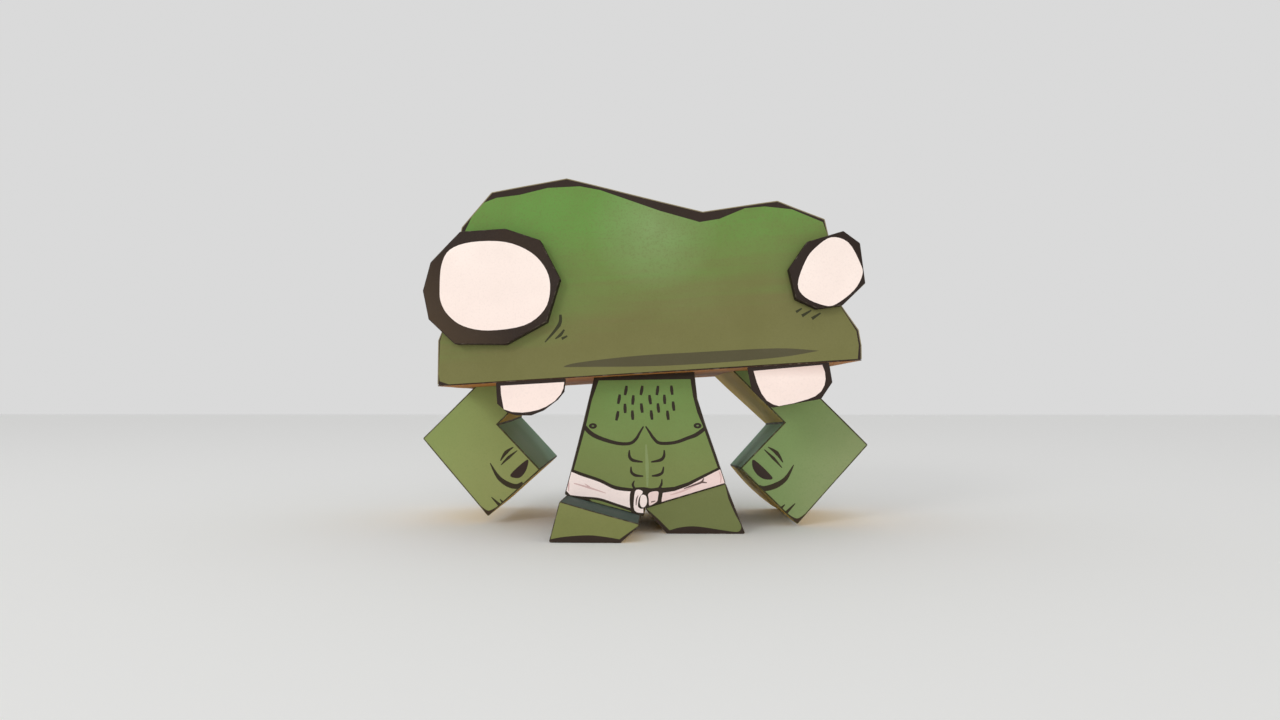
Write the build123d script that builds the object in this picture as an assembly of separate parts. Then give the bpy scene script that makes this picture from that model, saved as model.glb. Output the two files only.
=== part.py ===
from build123d import *
import math
import os

# Printed card, folded and glued. All sizes are in millimetres and all angles in degrees.
# Left and right are as seen from the front. X runs to the right from the middle of the head,
# Y to the back from the head's front, and Z up from the soles.
card = 0.4
fold_radius = 0.6
glue_flap = 5.0
flap_margin = 2.5
shortest_flap = 4.0
end_flap_height = 4.0
seam_width = 0.15
seam_depth = 0.2

# Head: a wide box whose underside rises to the right.
head_width = 151.0
head_depth = 100.0
underside_start = 53.9
underside_angle = 3.5
left_cheek_height = 16.5
left_temple_height = 19.8
left_temple_inset = 1.3
left_brow = (8.2, 57.4)
left_crown = (18.9, 70.1)
peak = (46.0, 75.0)
dip = (56.0, 62.6)
right_crown = (29.4, 66.3)
right_crown_fall = (23.9, 64.1)
right_brow = (12.6, 59.7)
right_temple = (11.4, 54.3)
right_hollow = (6.8, 28.5)
right_cheek = (0.9, 20.0)
right_cheek_drop = 14.6

# Eyes: shallow boxes glued to the front of the head, and partly past its sides.
eye_depth = 4.4
left_eye_inset = 19.8
left_eye_rise = 34.9
left_eye_width = 48.9
left_eye_height = 41.3
right_eye_inset = 12.7
right_eye_rise = 40.7
right_eye_width = 26.8
right_eye_height = 27.4
left_eye_glue_rim = 12.0
right_eye_glue_rim = 9.5

# Teeth: flat cards hung from the underside by a folded flap.
tooth_setback = 0.5
tooth_flap = 8.0
left_tooth_inset = 20.8
left_tooth_width = 25.1
left_tooth_drop = 12.6
right_tooth_inset = 40.4
right_tooth_width = 30.1
right_tooth_drop = 14.4

# Arms: elbow boxes glued under the head.
arm_setback = 35.0
arm_depth = 57.0
upper_arm_width = 17.0
left_elbow_reach = 15.1
left_elbow_height = 33.8
left_upper_arm_angle = 44.5
left_forearm_angle = 49.8
left_forearm_length = 39.7
left_forearm_width = 26.6
left_arm_pitch = 1.9
right_elbow_reach = 9.7
right_elbow_height = 31.6
right_upper_arm_angle = 45.4
right_forearm_angle = 47.7
right_forearm_length = 40.4
right_forearm_width = 29.8
right_arm_pitch = -1.2

# Torso and legs.
torso_setback = 12.0
torso_depth = 66.0
torso_top_left = -20.4
torso_top_width = 37.2
chest_height = 39.5
chest_left = -24.6
chest_width = 45.5
hip_left = (-31.1, 14.3)
hip_right = (28.1, 18.4)
crotch = -1.9
crotch_left_height = 6.3
crotch_step = 3.1
leg_inset = 0.6
left_step = 21.0
left_sole_outside = -34.2
left_sole_inside = -9.6
right_leg_setback = 0.8
right_sole_outside = 35.3
right_sole_inside = 6.5

# How far the tools that trim the pieces reach past them.
reach = 300.0
overshoot = 14.0

# Places that follow from the sizes above.
head_left = -head_width / 2
head_right = head_width / 2
left_eye_centre = (head_left + left_eye_inset, underside_start + left_eye_rise)
right_eye_centre = (head_right - right_eye_inset, underside_start + right_eye_rise)
left_elbow = (head_left - left_elbow_reach, left_elbow_height)
right_elbow = (head_right + right_elbow_reach, right_elbow_height)


def underside_height(x):
    """Height of the head's underside at x."""
    return underside_start + (x - head_left) * math.tan(math.radians(underside_angle))


def line_height(start, end, x):
    """Height at x of the straight line through two (x, z) points."""
    return start[1] + (end[1] - start[1]) * (x - start[0]) / (end[0] - start[0])


def crossing(first, second):
    """Where two lines meet. Each line is a point and a direction."""
    (ax, az), (adx, adz) = first
    (bx, bz), (bdx, bdz) = second
    share = ((bx - ax) * bdz - (bz - az) * bdx) / (adx * bdz - adz * bdx)
    return (ax + share * adx, az + share * adz)


def polygon_area(outline):
    """Signed area of an outline, positive when its corners run anticlockwise."""
    total = 0.0
    for (ax, az), (bx, bz) in zip(outline, outline[1:] + outline[:1]):
        total += ax * bz - bx * az
    return total / 2


def edge_frame(start, end):
    """Unit direction along an edge and the unit normal to its left."""
    length = math.dist(start, end)
    along = ((end[0] - start[0]) / length, (end[1] - start[1]) / length)
    return along, (-along[1], along[0]), length


def inset(outline, distance):
    """The outline with every edge moved inwards. Its corners run anticlockwise."""
    count = len(outline)
    lines = []
    for i in range(count):
        start = outline[i]
        along, inwards, _ = edge_frame(start, outline[(i + 1) % count])
        moved = (start[0] + inwards[0] * distance, start[1] + inwards[1] * distance)
        lines.append((moved, along))
    return [crossing(lines[i - 1], lines[i]) for i in range(count)]


def anticlockwise(outline):
    """The same outline with its corners anticlockwise as seen from the front."""
    return outline if polygon_area(outline) > 0 else outline[::-1]


def slab(outline, front, back):
    """A flat-faced solid with this (x, z) outline between two depths."""
    corners = [Vector(x, front, z) for x, z in outline]
    face = make_face(Polyline(corners, close=True))
    return extrude(face, amount=back - front, dir=(0, 1, 0))


def folded_slab(outline, front, back, radius):
    """A slab whose long corners are rounded as scored card folds."""
    solid = slab(outline, front, back)
    return fillet(solid.edges().filter_by(Axis.Y), radius)


def below_underside(clearance=0.0):
    """Everything under the head's underside, less a clearance."""
    low = -reach
    left = (-reach, underside_height(-reach) - clearance)
    right = (reach, underside_height(reach) - clearance)
    return slab([(-reach, low), (reach, low), right, left], -reach, reach)


def seam(outline, front, back):
    """The hairline beside the glued edges of the front and back panels."""
    outer = inset(outline, card)
    inner = inset(outline, card + seam_width)
    near = slab(outer, front, front + seam_depth) - slab(inner, front, front + seam_depth)
    far = slab(outer, back - seam_depth, back) - slab(inner, back - seam_depth, back)
    return near + far


def flap(start, end, front, width):
    """A tapered glue flap along one edge, one card thick, on the edge's left side."""
    along, inwards, length = edge_frame(start, end)
    taper = abs(width) / 2
    shape = [
        (flap_margin, 0.0),
        (length - flap_margin, 0.0),
        (length - flap_margin - taper, width),
        (flap_margin + taper, width),
    ]
    corners = []
    for run, depth in shape:
        x = start[0] + along[0] * run
        z = start[1] + along[1] * run
        corners.append(Vector(x, front + depth, z))
    face = make_face(Polyline(corners, close=True))
    return extrude(face, amount=card, dir=(inwards[0], 0, inwards[1]))


def lid(outline, front, facing):
    """A panel that closes a folded band, with its glue flaps folded inside."""
    back = front + facing * card
    solid = slab(outline, min(front, back), max(front, back))
    outer_edges = solid.edges().filter_by(lambda edge: abs(edge.center().Y - front) < card / 4)
    solid = fillet(outer_edges, card * 0.75)
    for start, end in zip(outline, outline[1:] + outline[:1]):
        if math.dist(start, end) > 2 * flap_margin + shortest_flap:
            solid = solid + flap(start, end, front + facing * card / 2, facing * glue_flap)
    return solid


def head_outline():
    """The head's front outline, anticlockwise from its lower left corner."""
    base = underside_start
    lower_left = (head_left, base)
    lower_right = (head_right, underside_height(head_right))
    from_right = [
        (0.0, right_cheek_drop),
        right_cheek,
        right_hollow,
        right_temple,
        right_brow,
        right_crown_fall,
        right_crown,
        dip,
    ]
    from_left = [
        peak,
        left_crown,
        left_brow,
        (left_temple_inset, left_temple_height),
        (0.0, left_cheek_height),
    ]
    right_corners = [(head_right - x, base + z) for x, z in from_right]
    left_corners = [(head_left + x, base + z) for x, z in from_left]
    return [lower_left, lower_right] + right_corners + left_corners


def underside_section():
    """The underside panel's section, between the two side walls of the band."""
    outline = head_outline()
    inner = inset(outline, card)
    floor_line = (outline[0], edge_frame(outline[0], outline[1])[0])
    left_wall = (inner[0], edge_frame(outline[-1], outline[0])[0])
    right_wall = (inner[1], edge_frame(outline[1], outline[2])[0])
    return [crossing(floor_line, left_wall), crossing(floor_line, right_wall), inner[1], inner[0]]


def head_band():
    """The strip over the left side, the top and the right side of the head."""
    outline = head_outline()
    outer = slab(outline, 0, head_depth)
    above = underside_height(reach / 4) + 1
    folds = outer.edges().filter_by(Axis.Y).filter_by(lambda edge: edge.center().Z > above)
    outer = fillet(folds, fold_radius)
    inner = slab(inset(outline, card), 0, head_depth)
    return outer - inner - slab(underside_section(), 0, head_depth)


def head_underside():
    """The underside panel, with a flap folded up inside each side of the band."""
    section = underside_section()
    solid = slab(section, 0, head_depth)
    left_wall = (section[3], head_outline()[-1], 1)
    right_wall = (section[2], head_outline()[2], -1)
    for corner, wall_top, facing in (left_wall, right_wall):
        along, _, _ = edge_frame(corner, (corner[0], wall_top[1]))
        start = glue_flap + flap_margin
        end = head_depth - glue_flap - flap_margin
        rise = end_flap_height
        shape = [(start, -card), (end, -card), (end, 0), (end - rise, rise), (start + rise, rise), (start, 0)]
        corners = [Vector(corner[0], y, corner[1] + z) for y, z in shape]
        face = make_face(Polyline(corners, close=True))
        solid = solid + extrude(face, amount=card, dir=(facing, 0, 0))
    return solid


def head_front():
    """The front panel of the head."""
    return lid(inset(head_outline(), card), 0.0, 1)


def head_back():
    """The back panel of the head."""
    return lid(inset(head_outline(), card), head_depth, -1)


def eye_outline(centre, width, height, corners):
    """An eye's outline from its centre and its corners as shares of its half size."""
    return [(centre[0] + x * width / 2, centre[1] + z * height / 2) for x, z in corners]


def eye_box(centre, width, height, corners, glue_rim):
    """A shallow box, with a window inside the glued rim of its back."""
    back = 0.0
    front = -eye_depth
    outline = eye_outline(centre, width, height, corners)
    outer = folded_slab(outline, front, back, fold_radius)
    rim = outer.edges().filter_by(lambda edge: abs(edge.center().Y - front) < card / 4)
    outer = fillet(rim, card * 0.75)
    hollow = slab(inset(outline, card), front + card, back - card)
    window_outline = eye_outline(centre, width - 2 * glue_rim, height - 2 * glue_rim, corners)
    return outer - hollow - slab(window_outline, front + card, back)


def left_eye():
    """The larger eye, a ten-sided box."""
    corners = [
        (-0.46, 0.97),
        (-0.89, 0.44),
        (-1.0, -0.05),
        (-0.91, -0.54),
        (-0.52, -0.97),
        (0.22, -0.98),
        (0.81, -0.59),
        (1.0, 0.155),
        (0.71, 0.82),
        (0.2, 1.02),
    ]
    return eye_box(left_eye_centre, left_eye_width, left_eye_height, corners, left_eye_glue_rim)


def right_eye():
    """The smaller eye, an eight-sided box."""
    corners = [
        (-0.52, 0.74),
        (-1.0, 0.05),
        (-0.82, -0.73),
        (-0.26, -0.99),
        (0.4, -0.91),
        (0.99, -0.35),
        (0.86, 0.69),
        (0.43, 1.01),
    ]
    return eye_box(right_eye_centre, right_eye_width, right_eye_height, corners, right_eye_glue_rim)


def tooth(side, width, drop, corners):
    """A flat tooth and its flap, folded back against the underside."""
    front = tooth_setback
    top_left = (side, underside_height(side))
    top_right = (side + width * corners[-1][0], underside_height(side + width * corners[-1][0]))
    lower = [(side + width * x, underside_height(side) - drop * z) for x, z in corners[:-1]]
    face = slab(anticlockwise([top_left] + lower + [top_right]), front, front + card)
    taper = flap_margin
    section = [(front, side), (front, top_right[0]), (front + tooth_flap, top_right[0] - taper),
               (front + tooth_flap, side + taper)]
    corners_3d = [Vector(x, y, underside_height(x)) for y, x in section]
    folded = extrude(make_face(Polyline(corners_3d, close=True)), amount=card, dir=(0, 0, -1))
    whole = face + folded
    bend = whole.edges().filter_by(lambda edge: is_bend(edge, front))
    return fillet(bend, card * 0.75)


def is_bend(edge, front):
    """True for the top front edge, where a tooth's flap is folded back."""
    middle = edge.center()
    on_front = abs(middle.Y - front) < card / 4
    return on_front and abs(middle.Z - underside_height(middle.X)) < card / 4


def left_tooth():
    """The left tooth, rounded more on its right side."""
    corners = [
        (0.02, 0.59),
        (0.17, 0.85),
        (0.3, 0.92),
        (0.51, 0.92),
        (0.69, 0.78),
        (0.89, 0.48),
        (0.98, 0.26),
        (1.0, 0.0),
    ]
    return tooth(head_left + left_tooth_inset, left_tooth_width, left_tooth_drop, corners)


def right_tooth():
    """The right tooth, blunt and wider."""
    corners = [
        (0.055, 0.56),
        (0.26, 0.98),
        (0.3, 1.0),
        (0.865, 0.785),
        (1.0, 0.37),
        (0.965, 0.0),
    ]
    return tooth(head_right - right_tooth_inset, right_tooth_width, right_tooth_drop, corners)


def roof_line():
    """A line above the underside and parallel to it, where open tops are drawn to before they are cut."""
    along, _, _ = edge_frame((0, underside_height(0)), (1, underside_height(1)))
    return (0.0, underside_height(0.0) + overshoot), along


def arm_outline(elbow, upper_angle, fore_angle, fore_length, fore_width, inward):
    """An arm's outline. Inward is 1 for the left arm and -1 for the right arm."""
    up = (inward * math.cos(math.radians(upper_angle)), math.sin(math.radians(upper_angle)))
    down = (inward * math.cos(math.radians(fore_angle)), -math.sin(math.radians(fore_angle)))
    across_up = (inward * up[1], -inward * up[0])
    across_down = (-inward * down[1], inward * down[0])
    far = (head_width, head_width)
    inner_upper = (elbow[0] + across_up[0] * upper_arm_width, elbow[1] + across_up[1] * upper_arm_width)
    inner_fore = (elbow[0] + across_down[0] * fore_width, elbow[1] + across_down[1] * fore_width)
    notch = crossing((inner_upper, up), (inner_fore, down))
    bottom = (elbow[0] + down[0] * fore_length, elbow[1] + down[1] * fore_length)
    fist = (bottom[0] + across_down[0] * fore_width, bottom[1] + across_down[1] * fore_width)
    roof = roof_line()
    outer_top = crossing((elbow, up), roof)
    inner_top = crossing((notch, up), roof)
    return anticlockwise([elbow, bottom, fist, notch, inner_top, outer_top])


def pitched(solid, height, pitch):
    """The solid turned about the line where its front meets the underside."""
    return Pos(0, arm_setback, height) * Rot(X=pitch) * Pos(0, -arm_setback, -height) * solid


def arm(outline, pitch):
    """An open-topped elbow box with glue flaps folded in under the head."""
    front = arm_setback
    back = arm_setback + arm_depth
    height = underside_height(outline[0][0])
    outer = folded_slab(outline, front, back, fold_radius)
    outer = outer - seam(outline, front, back)
    hollow = slab(inset(outline, card), front + card, back - card)
    window_rim = card + glue_flap
    window = slab(inset(outline, window_rim), front + window_rim, back - window_rim)
    outer = pitched(outer, height, pitch) & below_underside()
    hollow = pitched(hollow, height, pitch) & below_underside(card)
    return outer - hollow - pitched(window, height, pitch)


def left_arm():
    """The left arm box."""
    outline = arm_outline(
        left_elbow, left_upper_arm_angle, left_forearm_angle, left_forearm_length, left_forearm_width, 1
    )
    return arm(outline, left_arm_pitch)


def right_arm():
    """The right arm box."""
    outline = arm_outline(
        right_elbow, right_upper_arm_angle, right_forearm_angle, right_forearm_length, right_forearm_width, -1
    )
    return arm(outline, right_arm_pitch)


def torso_outline():
    """The torso's front outline, carried up past the underside."""
    top_right = torso_top_left + torso_top_width
    chest_right = chest_left + chest_width
    left_flank = ((chest_left, chest_height),
                  (torso_top_left - chest_left, underside_height(torso_top_left) - chest_height))
    right_flank = ((chest_right, chest_height),
                   (top_right - chest_right, underside_height(top_right) - chest_height))
    roof = roof_line()
    return anticlockwise([
        hip_left,
        (crotch, crotch_left_height),
        (crotch, crotch_left_height + crotch_step),
        hip_right,
        (chest_right, chest_height),
        crossing(right_flank, roof),
        crossing(left_flank, roof),
        (chest_left, chest_height),
    ])


def torso():
    """The torso box: open under the head, closed over the legs."""
    outline = torso_outline()
    front = torso_setback
    back = torso_setback + torso_depth
    outer = folded_slab(outline, front, back, fold_radius) - seam(outline, front, back)
    hollow = slab(inset(outline, card), front + card, back - card) & below_underside(card)
    window_rim = card + glue_flap
    window = slab(inset(outline, window_rim), front + window_rim, back - window_rim)
    return (outer & below_underside()) - hollow - window


def leg(outline, front, back):
    """A closed leg box with a flat sole."""
    outer = folded_slab(outline, front, back, fold_radius) - seam(outline, front, back)
    return outer - slab(inset(outline, card), front + card, back - card)


def left_leg():
    """The left leg box, which steps forward."""
    crotch_point = (crotch, crotch_left_height)
    outside = hip_left[0] + leg_inset
    inside = crotch - leg_inset
    outline = anticlockwise([
        (left_sole_outside, 0.0),
        (left_sole_inside, 0.0),
        (inside, line_height(hip_left, crotch_point, inside)),
        (outside, line_height(hip_left, crotch_point, outside)),
    ])
    front = torso_setback - left_step
    return leg(outline, front, front + torso_depth)


def right_leg():
    """The right leg box, almost flush with the torso's front."""
    crotch_point = (crotch, crotch_left_height + crotch_step)
    outline = anticlockwise([
        (right_sole_inside, 0.0),
        (right_sole_outside, 0.0),
        hip_right,
        crotch_point,
    ])
    return leg(outline, torso_setback + right_leg_setback, torso_setback + torso_depth)


def centre_of_box():
    """The middle of the whole figure in X and Y, where the origin goes."""
    middle_x = (left_elbow[0] + right_elbow[0]) / 2
    front = min(torso_setback - left_step, -eye_depth)
    back = max(head_depth, arm_setback + arm_depth)
    return middle_x, (front + back) / 2


pieces = {
    "head_front": head_front,
    "head_back": head_back,
    "head_band": head_band,
    "head_underside": head_underside,
    "left_eye": left_eye,
    "right_eye": right_eye,
    "left_tooth": left_tooth,
    "right_tooth": right_tooth,
    "left_arm": left_arm,
    "right_arm": right_arm,
    "torso": torso,
    "left_leg": left_leg,
    "right_leg": right_leg,
}

os.makedirs("parts", exist_ok=True)
middle = centre_of_box()
for name, make in pieces.items():
    piece = Pos(-middle[0], -middle[1], 0) * make()
    piece.label = name
    export_step(piece, f"parts/{name}.step")
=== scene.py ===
import bmesh
import bpy
import math
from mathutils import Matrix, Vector, noise
from mathutils.geometry import delaunay_2d_cdt


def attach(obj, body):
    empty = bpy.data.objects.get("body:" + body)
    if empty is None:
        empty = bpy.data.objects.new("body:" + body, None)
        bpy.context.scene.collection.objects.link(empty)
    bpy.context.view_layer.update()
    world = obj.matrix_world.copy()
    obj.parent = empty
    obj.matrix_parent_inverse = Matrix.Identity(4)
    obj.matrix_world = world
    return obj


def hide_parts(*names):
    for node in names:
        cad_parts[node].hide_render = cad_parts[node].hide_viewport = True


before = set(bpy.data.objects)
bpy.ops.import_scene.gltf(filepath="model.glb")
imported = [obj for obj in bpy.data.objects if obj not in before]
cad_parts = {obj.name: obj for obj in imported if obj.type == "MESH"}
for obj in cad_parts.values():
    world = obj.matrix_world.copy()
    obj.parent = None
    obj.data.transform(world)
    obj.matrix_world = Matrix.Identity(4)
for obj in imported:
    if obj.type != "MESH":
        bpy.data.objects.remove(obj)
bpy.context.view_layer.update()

# Head band: the strip of card over the left side, the top and the right side of the head.
# One long piece of printed card, scored at each corner and glued to the flaps of both panels.
# The helpers for scored outlines, for printed card and for making a piece start here.
mm = 0.001
card = 0.4
fold_radius = 0.6
fold_points = 4
head_front_y = -45.5
head_back_y = 54.5
underside_left = (-72.8, 53.9)
underside_slope = math.tan(math.radians(3.5))
head_corners = [
    (78.2, 63.1), (78.2, 68.5), (77.3, 73.9), (71.4, 82.4), (66.8, 108.2), (65.6, 113.6), (54.3, 118.0),
    (48.8, 120.2), (22.2, 116.5), (-26.8, 128.9), (-53.9, 124.0), (-64.6, 111.3), (-71.5, 73.7),
    (-72.8, 70.4), underside_left,
]
band_rows = 14
band_edge_round = 0.15
band_edge_crest = 0.35
green_ink = (101, 142, 66)
# Teal is painted cool light from above, put on card faces that look up.
painted_skylight_teal = (132, 173, 143)
paper_core = (205, 195, 170)


def underside(x):
    """Height of the head's underside, which rises to the right."""
    return underside_left[1] + (x - underside_left[0]) * underside_slope


def linear(ink):
    """A printed colour, written as 0 to 255, as the shader takes it."""
    colour = []
    for value in ink:
        part = value / 255
        colour.append(part / 12.92 if part <= 0.04045 else ((part + 0.055) / 1.055) ** 2.4)
    return tuple(colour) + (1.0,)


def scored(corners, radius=fold_radius, sharp=()):
    """Points round an anticlockwise outline with folded corners, and for each stretch the side it lies on.

    A stretch of a fold has no side, and gets -1. The corners numbered in sharp aren't folds, but cut
    edges that meet in a point.
    """
    longest_stretch = 4.0
    share_of_side = 0.4
    least_tangent = 0.001
    spots = [Vector(corner) for corner in corners]
    points = []
    sides = []
    for i, spot in enumerate(spots):
        if i in sharp:
            points.append(spot)
            sides.append(i)
            continue
        before = spot - spots[i - 1]
        after = spots[(i + 1) % len(spots)] - spot
        way_in = before.normalized()
        turn = -way_in.angle_signed(after.normalized())
        tangent = math.tan(abs(turn) / 2)
        reach = min(radius * tangent, min(before.length, after.length) * share_of_side)
        start = spot - way_in * reach
        hand = 1 if turn > 0 else -1
        middle = start + Vector((-way_in.y, way_in.x)) * hand * (reach / max(tangent, least_tangent))
        spoke = start - middle
        for step in range(fold_points):
            angle = turn * step / (fold_points - 1)
            points.append(middle + Vector((
                spoke.x * math.cos(angle) - spoke.y * math.sin(angle),
                spoke.x * math.sin(angle) + spoke.y * math.cos(angle),
            )))
            sides.append(-1)
        sides[-1] = i
    finished = []
    labels = []
    for point, after, side in zip(points, points[1:] + points[:1], sides):
        pieces = max(1, math.ceil((after - point).length / longest_stretch)) if side >= 0 else 1
        for step in range(pieces):
            finished.append(point.lerp(after, step / pieces))
            labels.append(side)
    return finished, labels


def inset(points, distance):
    """An anticlockwise outline moved inward by a distance, and held back at very sharp corners."""
    sharpest = 0.3
    moved = []
    for i, point in enumerate(points):
        along_in = (point - points[i - 1]).normalized()
        along_out = (points[(i + 1) % len(points)] - point).normalized()
        normal_in = Vector((-along_in.y, along_in.x))
        normal_out = Vector((-along_out.y, along_out.x))
        middle = (normal_in + normal_out).normalized()
        moved.append(point + middle * (distance / max(middle.dot(normal_in), sharpest)))
    return moved


bow_seed = 7
noise.seed_set(bow_seed)


def settled(point):
    """A point of the toy after handling has bowed its card a little. Nothing goes below the table."""
    bow_height = 0.22
    bow_length = 28.0
    moved = point + noise.noise_vector(point / bow_length) * bow_height
    moved.z = max(moved.z, 0.0)
    return moved


def on_toy(material):
    """The place on the toy, as a texture reads it."""
    return material.node_tree.nodes.new("ShaderNodeTexCoord").outputs["Object"]


def stretched(material, scale, turn=(0, 0, 0), kind="POINT"):
    """The place on the toy, scaled and turned so that a texture is drawn out."""
    mapping = material.node_tree.nodes.new("ShaderNodeMapping")
    mapping.vector_type = kind
    mapping.inputs["Scale"].default_value = scale
    mapping.inputs["Rotation"].default_value = turn
    material.node_tree.links.new(on_toy(material), mapping.inputs["Vector"])
    return mapping.outputs["Vector"]


def speckle(material, place, scale, detail):
    """Cloudy noise from 0 to 1 at a place."""
    texture = material.node_tree.nodes.new("ShaderNodeTexNoise")
    texture.inputs["Scale"].default_value = scale
    texture.inputs["Detail"].default_value = detail
    material.node_tree.links.new(place, texture.inputs["Vector"])
    return texture.outputs["Fac"]


def ranged(material, value, over, to):
    """A value that goes over one range, taken to another range."""
    node = material.node_tree.nodes.new("ShaderNodeMapRange")
    node.inputs["From Min"].default_value = over[0]
    node.inputs["From Max"].default_value = over[1]
    node.inputs["To Min"].default_value = to[0]
    node.inputs["To Max"].default_value = to[1]
    material.node_tree.links.new(value, node.inputs["Value"])
    return node.outputs["Result"]


def mixed(material, share, first, second):
    """The first colour with a share of the second one in it."""
    node = material.node_tree.nodes.new("ShaderNodeMix")
    node.data_type = "RGBA"
    material.node_tree.links.new(share, node.inputs["Factor"])
    for socket, colour in ((node.inputs["A"], first), (node.inputs["B"], second)):
        if isinstance(colour, tuple):
            socket.default_value = colour
        else:
            material.node_tree.links.new(colour, socket)
    return node.outputs["Result"]


def faded_share(material, fade_from, fade_to, bands):
    """How far an ink has faded: nothing at the first place and all of it at the second.

    Bands is how much the printer's streaks, which follow the underside's slope, shift it either way.
    """
    nodes = material.node_tree.nodes
    links = material.node_tree.links
    way = Vector(fade_to) - Vector(fade_from)
    start = Vector(fade_from).dot(way) / way.length_squared
    position = nodes.new("ShaderNodeVectorMath")
    position.operation = "DOT_PRODUCT"
    position.inputs[1].default_value = way / way.length_squared / mm
    links.new(on_toy(material), position.inputs[0])
    reached = position.outputs["Value"]
    if bands:
        streak_stretch = (14, 1, 1)
        streak_turn = (0, -math.atan(underside_slope), 0)
        streak_place = stretched(material, streak_stretch, turn=streak_turn, kind="TEXTURE")
        streaks = speckle(material, streak_place, scale=320, detail=3)
        shifted = nodes.new("ShaderNodeMath")
        links.new(reached, shifted.inputs[0])
        links.new(ranged(material, streaks, over=(0.3, 0.7), to=(-bands, bands)), shifted.inputs[1])
        reached = shifted.outputs["Value"]
    return ranged(material, reached, over=(start, start + 1), to=(0, 1))


def near_share(material, centre, reach):
    """How near a place is to a centre: most at the centre and nothing at the reach."""
    most = 0.75
    distance = material.node_tree.nodes.new("ShaderNodeVectorMath")
    distance.operation = "DISTANCE"
    distance.inputs[1].default_value = Vector(centre) * mm
    material.node_tree.links.new(on_toy(material), distance.inputs[0])
    return ranged(material, distance.outputs["Value"], over=(0, reach * mm), to=(most, 0))


def printed_card(
    name, ink, faded=None, fade_from=(0, 0, 0), fade_to=(0, 0, 1), bands=0.0, highlight=None, paper=0.1
):
    """Matt card with printed ink: paper fibres, fine grain and cloudy patches.

    The ink can fade into a second one, with printer's bands in the fade. A highlight is the centre, the
    reach and the ink of a soft painted highlight in a third one. Paper is how much the pale fibres show.
    """
    cloud_shade = 0.35
    grain_shade = 0.5
    darker_part = 0.86
    paler_part = 1.15
    paler_veil = 0.06
    roughness = (0.55, 0.7)
    gloss = 0.16
    relief = 0.35
    relief_height = 0.04
    material = bpy.data.materials.new(name)
    material.use_nodes = True
    nodes = material.node_tree.nodes
    links = material.node_tree.links
    shader = nodes["Principled BSDF"]
    base = linear(ink)
    if faded:
        base = mixed(material, faded_share(material, fade_from, fade_to, bands), base, linear(faded))
    if highlight:
        centre, reach, highlight_ink = highlight
        base = mixed(material, near_share(material, centre, reach), base, linear(highlight_ink))
    clouds = speckle(material, on_toy(material), scale=55, detail=3)
    grain = speckle(material, on_toy(material), scale=1500, detail=2)
    fibres = speckle(material, stretched(material, (1, 1, 0.4)), scale=800, detail=2)
    crossed = speckle(material, stretched(material, (0.35, 1, 1)), scale=700, detail=2)
    darker = tuple(part * darker_part for part in linear(ink)[:3]) + (1.0,)
    paler = tuple(min(1.0, part * paler_part + paler_veil) for part in linear(ink)[:3]) + (1.0,)
    look = mixed(material, ranged(material, clouds, over=(0.42, 0.75), to=(0, cloud_shade)), base, darker)
    look = mixed(material, ranged(material, grain, over=(0.5, 0.8), to=(0, grain_shade)), look, darker)
    look = mixed(material, ranged(material, fibres, over=(0.58, 0.8), to=(0, paper)), look, paler)
    look = mixed(material, ranged(material, crossed, over=(0.6, 0.82), to=(0, paper)), look, paler)
    links.new(look, shader.inputs["Base Color"])
    links.new(ranged(material, clouds, over=(0.3, 0.7), to=roughness), shader.inputs["Roughness"])
    shader.inputs["Specular IOR Level"].default_value = gloss
    bump = nodes.new("ShaderNodeBump")
    bump.inputs["Strength"].default_value = relief
    bump.inputs["Distance"].default_value = relief_height * mm
    links.new(fibres, bump.inputs["Height"])
    links.new(bump.outputs["Normal"], shader.inputs["Normal"])
    return material


def worn_fold(name, ink, wear):
    """Printed card along a fold, where the ink has cracked and the pale paper core shows in specks."""
    material = printed_card(name, ink)
    base = material.node_tree.nodes["Principled BSDF"].inputs["Base Color"]
    printed = base.links[0].from_socket
    cracks = speckle(material, on_toy(material), scale=420, detail=4)
    opened = ranged(material, cracks, over=(0.5, 0.68), to=(0, wear))
    material.node_tree.links.new(mixed(material, opened, printed, linear(paper_core)), base)
    return material


def make_piece(name, vertices, faces, paints, materials):
    """A card piece on the toy: vertices in millimetres, a face list and the material of each face."""
    soft_turn = 24
    mesh = bpy.data.meshes.new(name)
    mesh.from_pydata([settled(vertex) * mm for vertex in vertices], [], faces)
    for material in materials:
        mesh.materials.append(material)
    mesh.polygons.foreach_set("material_index", [materials.index(paint) for paint in paints])
    mesh.polygons.foreach_set("use_smooth", [True] * len(faces))
    mesh.set_sharp_from_angle(angle=math.radians(soft_turn))
    piece = bpy.data.objects.new("card_" + name, mesh)
    bpy.context.scene.collection.objects.link(piece)
    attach(piece, "root")
    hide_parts(name)
    return piece


head_side_ink = printed_card(
    "head_side_print", (142, 124, 62), faded=green_ink, fade_from=(0, 0, 62), fade_to=(0, 0, 118)
)
head_top_painted_light = printed_card("head_top_painted_skylight", painted_skylight_teal)
head_fold_ink = worn_fold("head_worn_folds", (66, 62, 46), wear=0.35)
card_core = printed_card("cut_card_edge", (150, 138, 108), paper=0.25)


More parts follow.
